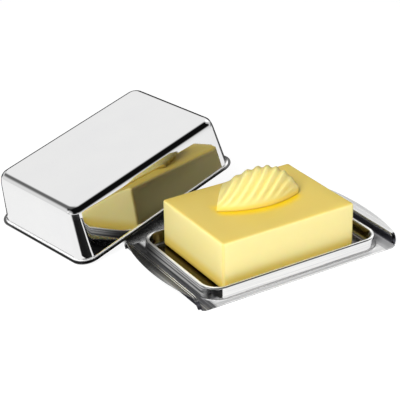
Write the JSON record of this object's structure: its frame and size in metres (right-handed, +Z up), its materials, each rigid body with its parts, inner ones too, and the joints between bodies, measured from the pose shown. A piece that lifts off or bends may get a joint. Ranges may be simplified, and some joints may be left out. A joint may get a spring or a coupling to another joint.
{
  "type": "butter dish",
  "caption": "Pressed steel butter dish: a ridged rectangular tray with turned-up grips, a deep flared cover lying against it, and a block of butter with a ribbed curl.",
  "frame": {"origin": "on the table under the middle of the tray", "axes": "+X along the tray to its right-hand grip, +Y across the tray to its back, where the cover lies, +Z up"},
  "size_m": [0.2276, 0.2233, 0.0713],
  "materials": {
    "steel": "mirror-polished stainless steel sheet",
    "butter": "soft satin butter"
  },
  "bodies": {
    "tray": {"tray": "steel"},
    "cover": {"cover": "steel"},
    "butter": {"butter_block": "butter", "butter_curl": "butter"}
  },
  "joints": [
    {"name": "cover_lift", "type": "slide", "parent": "tray", "child": "cover", "axis": [0, 0, 1], "range_m": [0, 0.15]},
    {"name": "butter_lift", "type": "slide", "parent": "tray", "child": "butter", "axis": [0, 0, 1], "range_m": [0, 0.1]}
  ]
}
